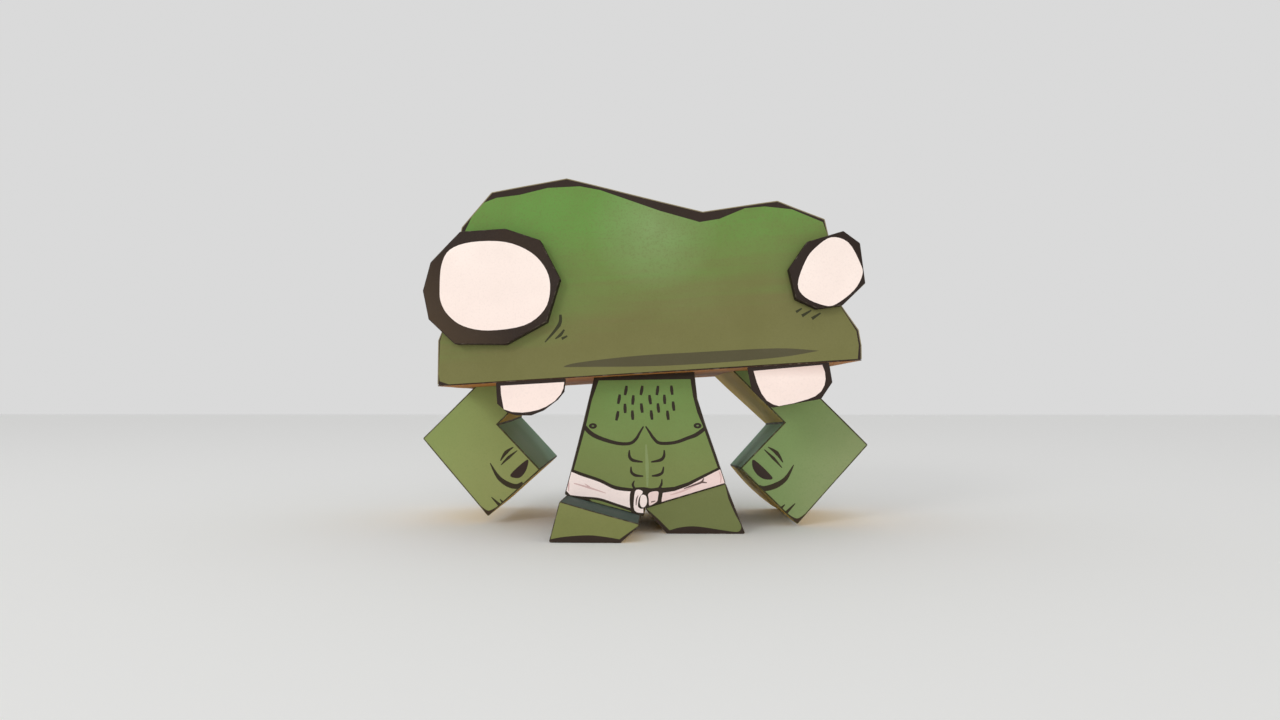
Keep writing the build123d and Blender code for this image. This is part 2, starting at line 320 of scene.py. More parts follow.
def head_band():
    """The strip as a closed sheet: outside, both cut edges and the plain inside."""
    points, sides = scored(head_corners)
    inner = inset(points, card)
    first = fold_points - 1
    last = max(i for i, side in enumerate(sides) if side == len(head_corners) - 2) + 1
    rows = [head_front_y + band_edge_round]
    rows += [head_front_y + (head_back_y - head_front_y) * k / band_rows for k in range(1, band_rows)]
    rows.append(head_back_y - band_edge_round)
    vertices = []
    for i in range(first, last + 1):
        crest = points[i].lerp(inner[i], band_edge_crest)
        vertices += [Vector((points[i].x, y, points[i].y)) for y in rows]
        vertices.append(Vector((crest.x, head_back_y, crest.y)))
        vertices += [Vector((inner[i].x, y, inner[i].y)) for y in reversed(rows)]
        vertices.append(Vector((crest.x, head_front_y, crest.y)))
    size = 2 * len(rows) + 2
    faces = []
    paints = []
    for j, i in enumerate(range(first, last)):
        start, end = points[i], points[i + 1]
        # The band's top is painted teal light from above, and its sides carry the head's green ink.
        upward = abs(end.x - start.x) > abs(end.y - start.y)
        outside = head_fold_ink if sides[i] == -1 else head_top_painted_light if upward else head_side_ink
        near = j * size
        far = near + size
        for k in range(size):
            after = (k + 1) % size
            faces.append([far + k, far + after, near + after, near + k])
            paints.append(outside if k < len(rows) - 1 else card_core)
    faces.append(list(reversed(range(size))))
    faces.append([far + k for k in range(size)])
    paints += [card_core, card_core]
    make_piece("head_band", vertices, faces, paints, [head_side_ink, head_top_painted_light, head_fold_ink, card_core])


head_band()

# Head underside: the flat panel that closes the head from below and carries arms, torso and teeth.
# One sheet of the same card, orange brown as painted warm light from below, darker towards the back.
# Its flaps are folded up inside both sides of the head, where they can't be seen, so only the sheet is made
# here.
underside_painted_light = printed_card(
    "underside_painted_warm_light", (198, 128, 68), faded=(160, 104, 56), fade_from=(0, -45, 0), fade_to=(0, 55, 0)
)
underside_fold = worn_fold("underside_folds", (74, 52, 38), wear=0.2)
underside_right_x = head_corners[0][0]
underside_corners = [
    underside_left,
    (underside_right_x, underside(underside_right_x)),
    (underside_right_x, underside(underside_right_x) + card),
    (underside_left[0], underside_left[1] + card),
]
inside_only = 1


def printed_panel(outline, fields):
    """A flat panel with shapes printed on it.

    It gives the panel's points, its triangles, each with the number of the shape on it or 0 for none,
    and the points round its edge.
    """
    spacing = 5.0
    join_within = 1e-4
    sheet = list(outline)
    shapes = [list(range(len(outline)))]
    for shape, _ in fields:
        shape = [Vector(point) for point in shape]
        area = sum(shape[i - 1].x * shape[i].y - shape[i].x * shape[i - 1].y for i in range(len(shape)))
        first = len(sheet)
        sheet += shape if area > 0 else list(reversed(shape))
        shapes.append(list(range(first, first + len(shape))))
    low = Vector((min(point.x for point in outline), min(point.y for point in outline)))
    high = Vector((max(point.x for point in outline), max(point.y for point in outline)))
    for i in range(int((high.x - low.x) / spacing)):
        for j in range(int((high.y - low.y) / spacing)):
            sheet.append(Vector((low.x + spacing * (i + 0.5), low.y + spacing * (j + 0.5))))
    flat, _, triangles, _, _, owners = delaunay_2d_cdt(sheet, [], shapes, inside_only, join_within)
    kept = [(list(triangle), max(owner)) for triangle, owner in zip(triangles, owners) if 0 in owner]
    ways = {}
    for triangle, _ in kept:
        for start, end in zip(triangle, triangle[1:] + triangle[:1]):
            ways[(start, end)] = True
    onward = {start: end for start, end in ways if (end, start) not in ways}
    edge = [next(iter(onward))]
    while onward[edge[-1]] != edge[0]:
        edge.append(onward[edge[-1]])
    return flat, kept, edge


def nearest(outline, point):
    """The stretch of an outline that a point lies on, and how far along it."""
    as_near = 1e-6
    best = None
    for i, start in enumerate(outline):
        along = outline[(i + 1) % len(outline)] - start
        share = max(0.0, min(1.0, (point - start).dot(along) / along.length_squared))
        away = (start + along * share - point).length
        if best is None or away < best[0] - as_near:
            best = (away, i, share)
    return best[1:]


def box_of_card(
    name, corners, levels, fields, base, walls, fold, back, radius=fold_radius, place=None, sharp=()
):
    """A folded box: a printed front panel, side walls and a back panel.

    The walls go through the given (inset, depth) levels. Fields are (shape, material) pairs printed on
    the base material of the front, later ones on top. Walls gives a material for a wall from the way it
    faces. Place moves a finished point. Sharp lists the corners that aren't folds.
    """
    join_within = 1e-6
    points, sides = scored(corners, radius, sharp)
    rings = [inset(points, cut) if cut else points for cut, _ in levels]
    flat, kept, edge = printed_panel(rings[0], fields)
    used = sorted({corner for triangle, _ in kept for corner in triangle})
    index = {corner: i for i, corner in enumerate(used)}
    vertices = [Vector((flat[corner].x, levels[0][1], flat[corner].y)) for corner in used]
    faces = [[index[corner] for corner in triangle] for triangle, _ in kept]
    paints = [fields[owner - 1][1] if owner else base for _, owner in kept]
    spots = [nearest(rings[0], flat[corner]) for corner in edge]
    ends = zip(edge, edge[1:] + edge[:1])
    stretches = [nearest(rings[0], (flat[start] + flat[end]) / 2)[0] for start, end in ends]
    previous = [index[corner] for corner in edge]
    for level in range(1, len(levels)):
        cut, depth = levels[level]
        ring = rings[level]
        current = []
        for stretch, share in spots:
            point = ring[stretch].lerp(ring[(stretch + 1) % len(ring)], share)
            current.append(len(vertices))
            vertices.append(Vector((point.x, depth, point.y)))
        upright = cut == 0 and levels[level - 1][0] == 0
        for i, stretch in enumerate(stretches):
            after = (i + 1) % len(edge)
            faces.append([previous[i], current[i], current[after], previous[after]])
            side = sides[stretch]
            if side < 0 or not upright:
                paints.append(fold)
            else:
                along = (Vector(corners[(side + 1) % len(corners)]) - Vector(corners[side])).normalized()
                paints.append(walls(Vector((along.y, -along.x))))
        previous = current
    rear = [Vector((vertices[i].x, vertices[i].z)) for i in previous]
    rear_triangles = delaunay_2d_cdt(rear, [], [list(range(len(rear)))], inside_only, join_within)[2]
    for triangle in rear_triangles:
        faces.append([previous[i] for i in reversed(triangle)])
        paints.append(back)
    if place:
        vertices = [place(vertex) for vertex in vertices]
    return make_piece(name, vertices, faces, paints, list(dict.fromkeys(paints)))


def depth_levels(front, back, fold=0.32, seam=True):
    """Levels for a box with softened folds at its front and back, and a glued seam round its back panel."""
    longest_wall = 6.0
    middle_of_fold = (fold * 0.35, fold * 0.25)
    softened = [(fold, 0.0), middle_of_fold, (0.0, fold)]
    seam_bottom = (fold + 0.06, back - 0.18)
    seam_lip = (fold + 0.16, back - 0.02)
    length = back - front - 2 * fold
    pieces = max(1, math.ceil(length / longest_wall))
    levels = [(cut, front + depth) for cut, depth in softened]
    levels += [(0.0, front + fold + length * k / pieces) for k in range(1, pieces)]
    levels += [(cut, back - depth) for cut, depth in reversed(softened)]
    if seam:
        levels += [seam_bottom, seam_lip]
    return levels


box_of_card(
    "head_underside", underside_corners,
    depth_levels(head_front_y + card, head_back_y - card, fold=0.1, seam=False),
    fields=[], base=underside_fold, walls=lambda facing: underside_painted_light, fold=underside_fold,
    back=underside_fold, radius=0.12,
)

# Head front: the large printed panel, glued to the band by flaps behind it.
# Green ink fades to olive towards the mouth, inside a dark brown outline drawn along its edges.
# A soft painted highlight lightens the green near the top middle of the front.
head_painted_highlight = ((5, -45, 111), 24, (134, 158, 104))
front_green = printed_card(
    "head_front_green", (116, 114, 68), faded=green_ink, fade_from=(-8, 0, 73), fade_to=(-14, 0, 114),
    bands=0.14, highlight=head_painted_highlight, paper=0.06,
)
front_outline = printed_card("head_front_outline", (50, 38, 31), paper=0.08)
crease_ink = printed_card("head_wrinkle_ink", (58, 58, 36), paper=0.05)
mouth_ink = printed_card("mouth_ink", (84, 79, 55), paper=0.05)
green_field = [
    (-68.7, 54.6), (76.8, 63.7), (77.2, 68.5), (76.4, 73.5), (70.8, 82.4), (66.3, 108.6), (64.9, 112.5),
    (53.9, 117.1), (44.3, 118.1), (37.2, 117.5), (28.2, 113.8), (21.1, 112.7), (6.8, 116.9), (-14.8, 124.5),
    (-22.1, 125.9), (-33.6, 125.4), (-43.7, 122.9), (-52.1, 121.9), (-58.9, 119.3), (-63.2, 110.2),
    (-71.1, 73.7), (-72.1, 70.1), (-72.4, 58.2), (-72.0, 55.7),
]


def smooth(points, steps=4, closed=False):
    """Points on a soft curve through the given ones."""
    points = [Vector(point) for point in points]
    count = len(points)
    curve = []
    for i in range(count if closed else count - 1):
        before = points[i - 1] if closed or i else points[0]
        start = points[i]
        end = points[(i + 1) % count]
        after = points[(i + 2) % count] if closed or i + 2 < count else points[-1]
        for step in range(steps):
            share = step / steps
            straight = (end - before) * share
            bent = (before * 2 - start * 5 + end * 4 - after) * share * share
            twice_bent = (start * 3 - before - end * 3 + after) * share ** 3
            curve.append((start * 2 + straight + bent + twice_bent) / 2)
    if not closed:
        curve.append(points[-1])
    return curve


def stroke(points, widths, steps=4):
    """The outline of a pen stroke along a soft curve, with a width at each given point."""
    thinnest = 0.02
    furthest = len(widths) - 1.001
    line = smooth(points, steps)
    left = []
    right = []
    for i, point in enumerate(line):
        along = (line[min(i + 1, len(line) - 1)] - line[max(i - 1, 0)]).normalized()
        place = min(i / steps, furthest)
        whole = int(place)
        half = (widths[whole] + (widths[whole + 1] - widths[whole]) * (place - whole)) / 2
        side = Vector((-along.y, along.x)) * max(half, thinnest)
        left.append(point + side)
        right.append(point - side)
    return right + list(reversed(left))


def leaf(top, bottom):
    """A shape between two soft curves that meet at both ends."""
    return smooth(bottom) + list(reversed(smooth(top)))[1:-1]


mouth = leaf([(-27.8, 60.9), (-22.5, 62.3), (-0.3, 64.8), (21.4, 66.1), (48.6, 67.4), (63.3, 66.6)],
             [(-27.8, 60.7), (-0.3, 60.9), (21.3, 61.9), (48.6, 64.1), (63.3, 66.6)])
wrinkles = [
    stroke([(-28.9, 79.6), (-29.4, 75.8), (-34.4, 69.7)], (0.9, 1.3, 0.4)),
    stroke([(-27.5, 74.2), (-28.9, 72.3), (-30.7, 70.9)], (0.6, 1.1, 0.4)),
    stroke([(-26.4, 71.9), (-28.4, 70.9)], (0.6, 1.0)),
    stroke([(57.3, 81.6), (55.2, 80.3)], (0.5, 1.0)),
    stroke([(60.6, 80.9), (57.3, 78.9)], (0.5, 1.2)),
    stroke([(63.9, 79.9), (60.8, 77.9)], (0.5, 1.2)),
]
head_inner = inset([Vector(corner) for corner in head_corners], card)
box_of_card(
    "head_front", head_inner, [(0.0, head_front_y), (0.0, head_front_y + card)],
    fields=[(green_field, front_green), (mouth, mouth_ink)] + [(line, crease_ink) for line in wrinkles],
    base=front_outline, walls=lambda facing: front_outline, fold=front_outline, back=card_core, radius=0.3,
)

# Head back: the plain panel behind, the same outline as the front, glued in the same way.
# The photo doesn't show it, so it only has the head's green ink.
box_of_card(
    "head_back", head_inner, [(0.0, head_back_y - card), (0.0, head_back_y)],
    fields=[], base=card_core, walls=lambda facing: card_core, fold=card_core, back=front_green, radius=0.3,
)

# Eyes: two shallow boxes glued on the front of the head, each reaching a little past its side.
# Folded card printed dark brown round the edges, with an unprinted pale middle.
eye_depth = 4.4
eye_fold = 0.3
eye_fold_middle = (0.1, 0.08)
eye_wall_row = 1.5
eye_white = printed_card(
    "eye_pale_card", (248, 230, 221), faded=(250, 234, 225), fade_from=(0, 0, 74), fade_to=(0, 0, 104),
    paper=0.05,
)
# The left rim is paler towards its lower left: painted warm light from below left. The right rim is plain.
left_rim_painted_light = printed_card(
    "left_eye_rim_painted_light", (70, 56, 42), faded=(46, 35, 29), fade_from=(-76, 0, 80), fade_to=(-62, 0, 92), paper=0.05
)
right_rim = printed_card("right_eye_rim", (44, 33, 27), paper=0.05)
rim_fold = worn_fold("eye_folds", (48, 37, 31), wear=0.12)
left_eye_centre = (-53.0, 88.8)
left_eye_half = (24.45, 20.65)
left_eye_corners = [
    (-0.46, 0.97), (-0.89, 0.44), (-1.0, -0.05), (-0.91, -0.54), (-0.52, -0.97), (0.22, -0.98),
    (0.81, -0.59), (1.0, 0.155), (0.71, 0.82), (0.2, 1.02),
]
left_eye_white = [
    (-71.9, 88.5), (-71.3, 97.0), (-68.1, 102.8), (-60.1, 105.6), (-47.9, 105.6), (-38.4, 101.7),
    (-32.8, 95.2), (-31.4, 88.0), (-33.5, 80.5), (-40.8, 74.8), (-53.7, 72.9), (-62.9, 74.6),
    (-68.6, 78.7), (-71.4, 83.5),
]
right_eye_centre = (65.5, 94.6)
right_eye_half = (13.4, 13.7)
right_eye_corners = [
    (-0.52, 0.74), (-1.0, 0.05), (-0.82, -0.73), (-0.26, -0.99), (0.4, -0.91), (0.99, -0.35), (0.86, 0.69),
    (0.43, 1.01),
]
right_eye_white = [
    (66.9, 106.5), (73.1, 104.5), (77.2, 97.1), (78.0, 92.8), (75.0, 87.2), (68.7, 82.3), (64.5, 81.8),
    (57.6, 84.8), (54.9, 89.7), (57.7, 98.2), (61.2, 102.8),
]


def eye(name, centre, half, corners, white, margin, rim):
    """One eye box, printed on its front. The margin is how far inside its points the pale middle ends."""
    outline = [(centre[0] + half[0] * x, centre[1] + half[1] * z) for x, z in corners]
    front = head_front_y - eye_depth
    levels = [
        (eye_fold, front), (eye_fold_middle[0], front + eye_fold_middle[1]), (0.0, front + eye_fold),
        (0.0, head_front_y - eye_wall_row), (0.0, head_front_y),
    ]
    pale_middle = inset(smooth(list(reversed(white)), closed=True), margin)
    box_of_card(
        name, outline, levels, fields=[(pale_middle, eye_white)],
        base=rim, walls=lambda facing: rim, fold=rim_fold, back=rim, radius=0.7,
    )


eye("left_eye", left_eye_centre, left_eye_half, left_eye_corners, left_eye_white, margin=0.6, rim=left_rim_painted_light)
eye(
    "right_eye", right_eye_centre, right_eye_half, right_eye_corners, right_eye_white, margin=0.3,
    rim=right_rim,
)

# Teeth: two flat cards that hang from the front edge of the underside.
# Each is one piece with a flap folded back under the head, pale with a dark printed edge.
tooth_setback = 0.5
tooth_front = head_front_y + tooth_setback
tooth_flap = 8.0
flap_taper = 2.5
tooth_bevel = 0.08
tooth_white = printed_card(
    "tooth_pale_card", (250, 230, 221), faded=(205, 176, 167), fade_from=(0, 0, 57), fade_to=(0, 0, 63),
    paper=0.05,
)
tooth_edge = printed_card("tooth_outline", (48, 37, 31), paper=0.05)
left_tooth_side = -52.0
left_tooth_size = (25.1, 12.6)
left_tooth_corners = [
    (0.02, 0.59), (0.17, 0.85), (0.3, 0.92), (0.51, 0.92), (0.69, 0.78), (0.89, 0.48), (0.98, 0.26),
    (1.0, 0.0),
]
left_tooth_white = [
    (-50.3, 54.1), (-50.1, 51.1), (-49.1, 45.8), (-46.1, 44.8), (-42.4, 44.6), (-39.6, 44.9), (-36.6, 45.6),
    (-33.9, 46.7), (-30.8, 48.7), (-28.7, 51.1), (-27.8, 53.1), (-27.5, 55.4),
]
right_tooth_side = 37.8
right_tooth_size = (30.1, 14.4)
right_tooth_corners = [(0.055, 0.56), (0.26, 0.98), (0.3, 1.0), (0.865, 0.785), (1.0, 0.37), (0.965, 0.0)]
right_tooth_white = [
    (40.1, 59.4), (41.3, 55.1), (42.8, 51.4), (44.6, 48.8), (46.8, 47.4), (48.9, 46.8), (54.1, 47.8),
    (59.2, 49.3), (61.7, 50.3), (63.9, 52.1), (65.1, 54.3), (65.5, 56.5), (65.3, 59.1), (64.4, 61.6),
]


def tooth(name, side, size, corners, white):
    """One tooth card, with its flap as a second closed sheet behind the fold."""
    top_left = (side, underside(side))
    lower = [(side + size[0] * x, underside(side) - size[1] * z) for x, z in corners[:-1]]
    right_x = side + size[0] * corners[-1][0]
    top_right = (right_x, underside(right_x))
    tooth_back = tooth_front + card
    levels = [
        (tooth_bevel, tooth_front), (0.0, tooth_front + tooth_bevel),
        (0.0, tooth_back - tooth_bevel), (tooth_bevel, tooth_back),
    ]
    piece = box_of_card(
        name, [top_left] + lower + [top_right], levels, fields=[(white, tooth_white)],
        base=tooth_edge, walls=lambda facing: tooth_edge, fold=tooth_edge, back=card_core, radius=0.5,
    )
    plan = [
        (top_left[0], tooth_back), (right_x, tooth_back),
        (right_x - flap_taper, tooth_front + tooth_flap),
        (top_left[0] + flap_taper, tooth_front + tooth_flap),
    ]
    sheet = bmesh.new()
    sheet.from_mesh(piece.data)
    lower_face = [sheet.verts.new(Vector((x, y, underside(x) - card)) * mm) for x, y in plan]
    upper_face = [sheet.verts.new(Vector((x, y, underside(x))) * mm) for x, y in plan]
    sheet.faces.new(list(reversed(lower_face)))
    sheet.faces.new(upper_face)
    for i in range(len(plan)):
        after = (i + 1) % len(plan)
        sheet.faces.new([lower_face[i], lower_face[after], upper_face[after], upper_face[i]])
    for face in sheet.faces[-len(plan) - 2:]:
        face.material_index = len(piece.data.materials) - 1
    sheet.to_mesh(piece.data)
    sheet.free()


tooth("left_tooth", left_tooth_side, left_tooth_size, left_tooth_corners, left_tooth_white)
tooth("right_tooth", right_tooth_side, right_tooth_size, right_tooth_corners, right_tooth_white)

# Arms: two elbow boxes glued by their tops under the head, each with a fist drawn at the end.
# Folded card, green in front; painted light: teal on walls that face up, warm yellow brown on those facing
# down.
arm_front = -10.5
arm_depth = 57.0
upper_arm_width = 17.0
fist_corner_round = 4.6
arm_upward_facing = 0.1
arm_upward_painted_light = printed_card("arm_upward_painted_skylight", painted_skylight_teal, paper=0.06)
arm_downward_painted_light = printed_card("arm_downward_painted_warm_light", (214, 178, 88), paper=0.06)
arm_fold = worn_fold("arm_folds", (72, 72, 46), wear=0.25)
arm_line = printed_card("arm_drawn_lines", (56, 48, 32), paper=0.05)
nail_ink = printed_card("nail_ink", (56, 43, 37), paper=0.05)
arm_corner_ink = printed_card("arm_dark_corner", (64, 48, 34), paper=0.05)


def crossing(point, way, other, other_way):
    """Where two lines cross, each given by a point and a direction."""
    cross = way.x * other_way.y - way.y * other_way.x
    gap = other - point
    return point + way * ((gap.x * other_way.y - gap.y * other_way.x) / cross)


def arm(name, elbow, upper_angle, fore_angle, fore_length, fore_width, pitch, inward, fist_slant, twist, bow,
        fields, front_ink):
    """One arm box, pitched a little about a level line at the height of the underside.

    The fist slant is how much further the outer and the upper corner of the fist reach, along the
    forearm and across it. The twist is how far the back is turned against the front, and the bow how
    far the card of the fist's end bulges at the back.
    """
    glued_edge = 0.6
    bulge_rise = 2.5
    dark_margin = 0.15
    green_margin = 0.5
    corner_share = 0.25
    corner_lift = 0.16
    up = Vector((inward * math.cos(math.radians(upper_angle)), math.sin(math.radians(upper_angle))))
    down = Vector((inward * math.cos(math.radians(fore_angle)), -math.sin(math.radians(fore_angle))))
    across_up = Vector((inward * up.y, -inward * up.x))
    across_down = Vector((-inward * down.y, inward * down.x))
    elbow = Vector(elbow)
    notch = crossing(elbow + across_up * upper_arm_width, up, elbow + across_down * fore_width, down)
    fist = elbow + down * fore_length + across_down * (fore_width + fist_slant[1])
    bottom = elbow + down * (fore_length + fist_slant[0])
    roof = Vector((0, underside(0)))
    roof_way = Vector((1, underside_slope))
    outer_top = crossing(elbow, up, roof, roof_way)
    inner_top = crossing(notch, up, roof, roof_way)
    outline = [elbow, bottom, fist, notch, inner_top, outer_top]
    top_corners = (4, 5)
    if inward < 0:
        outline.reverse()
        top_corners = (0, 1)
    pivot = underside(outline[0].x)
    turn = math.radians(pitch)
    centre = elbow + down * fore_length * 0.5 + across_down * fore_width * 0.5

    def bulged(point, depth):
        """A point moved out where the card of the fist's end bulges."""
        from_elbow = Vector((point.x, point.z)) - elbow
        along = max(0.0, from_elbow.dot(down) / fore_length * bulge_rise - (bulge_rise - 1))
        across = max(0.0, min(1.0, from_elbow.dot(across_down) / fore_width))
        bulge = bow * min(1.0, along) * 4 * across * (1 - across) * min(1.0, depth / arm_depth)
        return point + Vector((down.x, 0, down.y)) * bulge

    def twisted(point, depth):
        """A point turned about the middle of the forearm, further the nearer it is to the back."""
        swing = math.radians(twist) * depth / arm_depth
        aside = point.x - centre.x
        above = point.z - centre.y
        return Vector((centre.x + aside * math.cos(swing) - above * math.sin(swing), point.y,
                       centre.y + aside * math.sin(swing) + above * math.cos(swing)))

    def seated(point):
        """A point of the finished arm, with the ones at its top brought up to the underside."""
        at_top = point.z > underside(point.x) - glued_edge
        depth = point.y - arm_front
        point = twisted(bulged(point, depth), depth)
        height = point.z - pivot
        turned = Vector((point.x, arm_front + depth * math.cos(turn) - height * math.sin(turn),
                         pivot + depth * math.sin(turn) + height * math.cos(turn)))
        if at_top or turned.z > underside(turned.x):
            lift = (underside(turned.x) - turned.z) / (up.y - underside_slope * up.x)
            turned = turned + Vector((up.x, 0, up.y)) * lift
        return turned

    def wall(facing):
        """Ink of an arm wall from the way it faces: painted cool light if it faces up, painted warm light if
        not.
        """
        return arm_upward_painted_light if facing.y > arm_upward_facing else arm_downward_painted_light

    dark = inset(outline, dark_margin)
    green = inset(outline, green_margin)
    lowest = min(range(len(green)), key=lambda i: green[i].y)
    corner = green[lowest]
    before = green[lowest - 1]
    after = green[(lowest + 1) % len(green)]
    share_before = fist_corner_round / (before - corner).length
    share_after = fist_corner_round / (after - corner).length
    middle = corner.lerp(before, corner_share * share_before) + corner.lerp(after, corner_share * share_after)
    middle = middle / 2 + Vector((0, fist_corner_round * corner_lift))
    rounded = smooth([corner.lerp(before, share_before), middle, corner.lerp(after, share_after)])
    green[lowest:lowest + 1] = rounded
    box_of_card(
        name, outline, depth_levels(arm_front, arm_front + arm_depth),
        fields=[(dark, arm_corner_ink), (green, front_ink)] + fields,
        base=arm_fold, walls=wall, fold=arm_fold, back=front_ink, place=seated, sharp=top_corners,
    )


left_arm_green = printed_card(
    "left_arm_front", (138, 152, 90), faded=(144, 149, 92), fade_from=(-80, 0, 40), fade_to=(-55, 0, 10),
    paper=0.06,
)
right_arm_green = printed_card(
    "right_arm_front", (127, 151, 94), faded=(140, 150, 105), fade_from=(55, 0, 30), fade_to=(80, 0, 15),
    paper=0.06,
)
left_nail = smooth([(-52.9, 19.4), (-46.2, 25.4), (-46.3, 22.0), (-48.2, 18.9), (-50.4, 18.0)], closed=True)
left_fingers = [
    stroke([(-60.9, 24.0), (-57.7, 18.4), (-54.0, 15.6), (-50.5, 14.7), (-47.8, 15.9)],
           (0.3, 1.6, 2.1, 2.0, 1.8)),
    stroke([(-51.6, 30.4), (-54.6, 28.2), (-56.8, 24.9)], (0.3, 1.5, 0.4)),
    stroke([(-50.1, 29.0), (-53.6, 26.2), (-56.6, 23.2)], (0.3, 1.2, 0.3)),
    stroke([(-60.4, 10.4), (-57.1, 7.3)], (0.3, 1.4)),
    stroke([(-57.0, 9.6), (-56.0, 8.5)], (0.3, 1.0)),
]
right_nail = smooth([(43.5, 25.7), (50.5, 19.0), (47.6, 18.2), (44.6, 19.9), (42.8, 22.9)], closed=True)
right_fingers = [
    stroke([(58.9, 23.9), (55.7, 18.6), (51.8, 15.9), (47.3, 14.6), (45.0, 15.2)],
           (0.3, 1.6, 2.2, 2.1, 1.9)),
    stroke([(49.0, 30.7), (52.4, 28.4), (54.7, 24.8)], (0.3, 1.6, 0.4)),
    stroke([(47.5, 29.7), (51.1, 26.3), (54.3, 22.7)], (0.3, 1.2, 0.3)),
    stroke([(59.1, 8.9), (55.5, 5.3)], (0.3, 1.4)),
    stroke([(55.1, 8.5), (53.8, 7.3)], (0.3, 1.0)),
]
arm(
    "left_arm", elbow=(-87.9, 33.8), upper_angle=44.5, fore_angle=49.8, fore_length=39.7, fore_width=26.6,
    pitch=1.9, inward=1, fist_slant=(0.9, 1.2), twist=0.0, bow=0.0,
    fields=[(left_nail, nail_ink)] + [(line, arm_line) for line in left_fingers], front_ink=left_arm_green,
)
arm(
    "right_arm", elbow=(87.9, 31.6), upper_angle=45.4, fore_angle=47.7, fore_length=40.4, fore_width=29.8,
    pitch=-1.7, inward=-1, fist_slant=(1.3, 0.9), twist=2.5, bow=1.5,
    fields=[(right_nail, nail_ink)] + [(line, arm_line) for line in right_fingers], front_ink=right_arm_green,
)

# Torso: a box folded round chest and hips, glued by its top under the head.
# Its front is printed green with drawn chest lines, short dashes and a pale belt tied in a knot.
torso_front = -33.5
torso_depth = 66.0
torso_top_left_x = -17.7
torso_top_right_x = 19.5
torso_unfolded = (5, 6, 7)
upward_facing = 0.25
torso_green = printed_card(
    "torso_front_green", (121, 133, 77), faded=(112, 141, 77), fade_from=(0, 0, 24), fade_to=(0, 0, 50),
    paper=0.06,
)
torso_line = printed_card("torso_drawn_lines", (50, 41, 31), paper=0.05)
torso_painted_highlight = printed_card("torso_painted_highlight_line", (134, 148, 98), paper=0.08)
belt_pale = printed_card("belt_pale_left", (254, 236, 230), paper=0.04)
belt_right = printed_card("belt_pale_right", (240, 214, 209), paper=0.04)
belt_shade = printed_card("belt_shade", (104, 84, 80), paper=0.04)
belt_crease = printed_card("belt_crease", (218, 184, 180), paper=0.04)
torso_fold = worn_fold("torso_folds", (58, 50, 40), wear=0.15)
ring_middle = printed_card("ring_middle", (104, 124, 76), paper=0.05)
torso_corners = [
    (-28.4, 14.3), (0.8, 6.3), (0.8, 9.4), (30.8, 18.4), (23.6, 39.5), (20.6, 49.5),
    (torso_top_right_x, underside(torso_top_right_x)), (torso_top_left_x, underside(torso_top_left_x)),
    (-21.9, 39.5),
]
torso_field = [
    (-27.2, 14.0), (0.8, 6.2), (0.8, 9.4), (30.2, 18.2), (29.1, 20.9), (27.8, 24.1), (22.4, 39.5),
    (20.4, 44.5), (18.9, 50.5), (18.0, 56.8), (-15.9, 56.2), (-18.4, 49.0), (-20.6, 39.4), (-25.1, 23.2),
]
chest_lines = [
    stroke([(-22.0, 40.4), (-17.9, 36.2), (-10.0, 33.3), (-4.6, 33.0), (-2.2, 34.6), (-1.0, 36.6),
            (0.6, 39.3)], (1.5, 1.6, 1.3, 1.2, 1.1, 0.9, 0.5)),
    stroke([(1.4, 39.3), (2.9, 37.0), (4.3, 34.9), (6.6, 33.1), (12.0, 33.3), (16.7, 34.9), (20.2, 36.3),
            (24.0, 39.2)], (0.5, 0.9, 1.1, 1.2, 1.2, 1.3, 1.5, 1.4)),
]
muscle_lines = [
    stroke([(-4.6, 30.6), (-4.6, 28.3), (-3.3, 26.8), (0.3, 26.2)], (0.4, 1.1, 1.2, 0.5)),
    stroke([(8.2, 30.6), (8.1, 28.3), (6.8, 26.9), (3.4, 26.2)], (0.4, 1.1, 1.2, 0.5)),
    stroke([(-4.0, 24.5), (-3.9, 22.5), (-2.4, 21.3), (0.5, 21.0)], (0.4, 1.0, 1.1, 0.5)),
    stroke([(8.0, 24.5), (7.5, 22.3), (5.9, 21.4), (3.6, 21.1)], (0.4, 1.0, 1.1, 0.5)),
    stroke([(-2.8, 19.4), (-3.4, 17.9), (-2.8, 16.6)], (0.3, 0.9, 0.8)),
    stroke([(7.4, 20.0), (7.2, 18.0), (6.3, 16.6)], (0.3, 0.9, 0.8)),
]
# A soft pale line down the middle of the chest is a painted highlight.
chest_painted_highlight = stroke([(1.5, 32.6), (1.9, 25.0), (2.0, 17.2)], (0.5, 1.3, 0.6))
dash_tops = [
    (-5.6, 54.3, -0.6), (0.2, 54.3, -0.6), (6.0, 54.3, -0.5), (10.9, 54.4, 0.4),
    (-8.1, 51.1, -0.6), (-3.1, 50.8, -0.3), (2.8, 50.9, 0.5), (8.3, 51.0, 0.2),
    (-6.2, 47.7, 0.1), (-0.2, 47.8, 0.4), (5.9, 47.8, 0.4), (11.5, 48.5, 0.4),
    (-8.7, 45.0, -0.7), (-3.5, 45.2, 0.2), (3.4, 45.2, 0.4), (9.4, 45.1, 0.4),
]
dash_length = 3.5
dash_widths = (0.85, 1.25, 0.9)
dash_bend = 0.4
dashes = []
for x, z, lean in dash_tops:
    middle = (x + lean * dash_bend, z - dash_length / 2)
    dashes.append(stroke([(x, z), middle, (x + lean, z - dash_length)], dash_widths, steps=3))
ring_centres = [(-18.0, 39.5), (20.5, 39.5)]
ring_half = (1.5, 1.05)
ring_middle_half = (0.5, 0.3)


def oval(centre, half):
    """A plain oval, from its centre and half its width and height."""
    points = 14
    turns = [2 * math.pi * k / points for k in range(points)]
    return [(centre[0] + half[0] * math.cos(turn), centre[1] + half[1] * math.sin(turn)) for turn in turns]


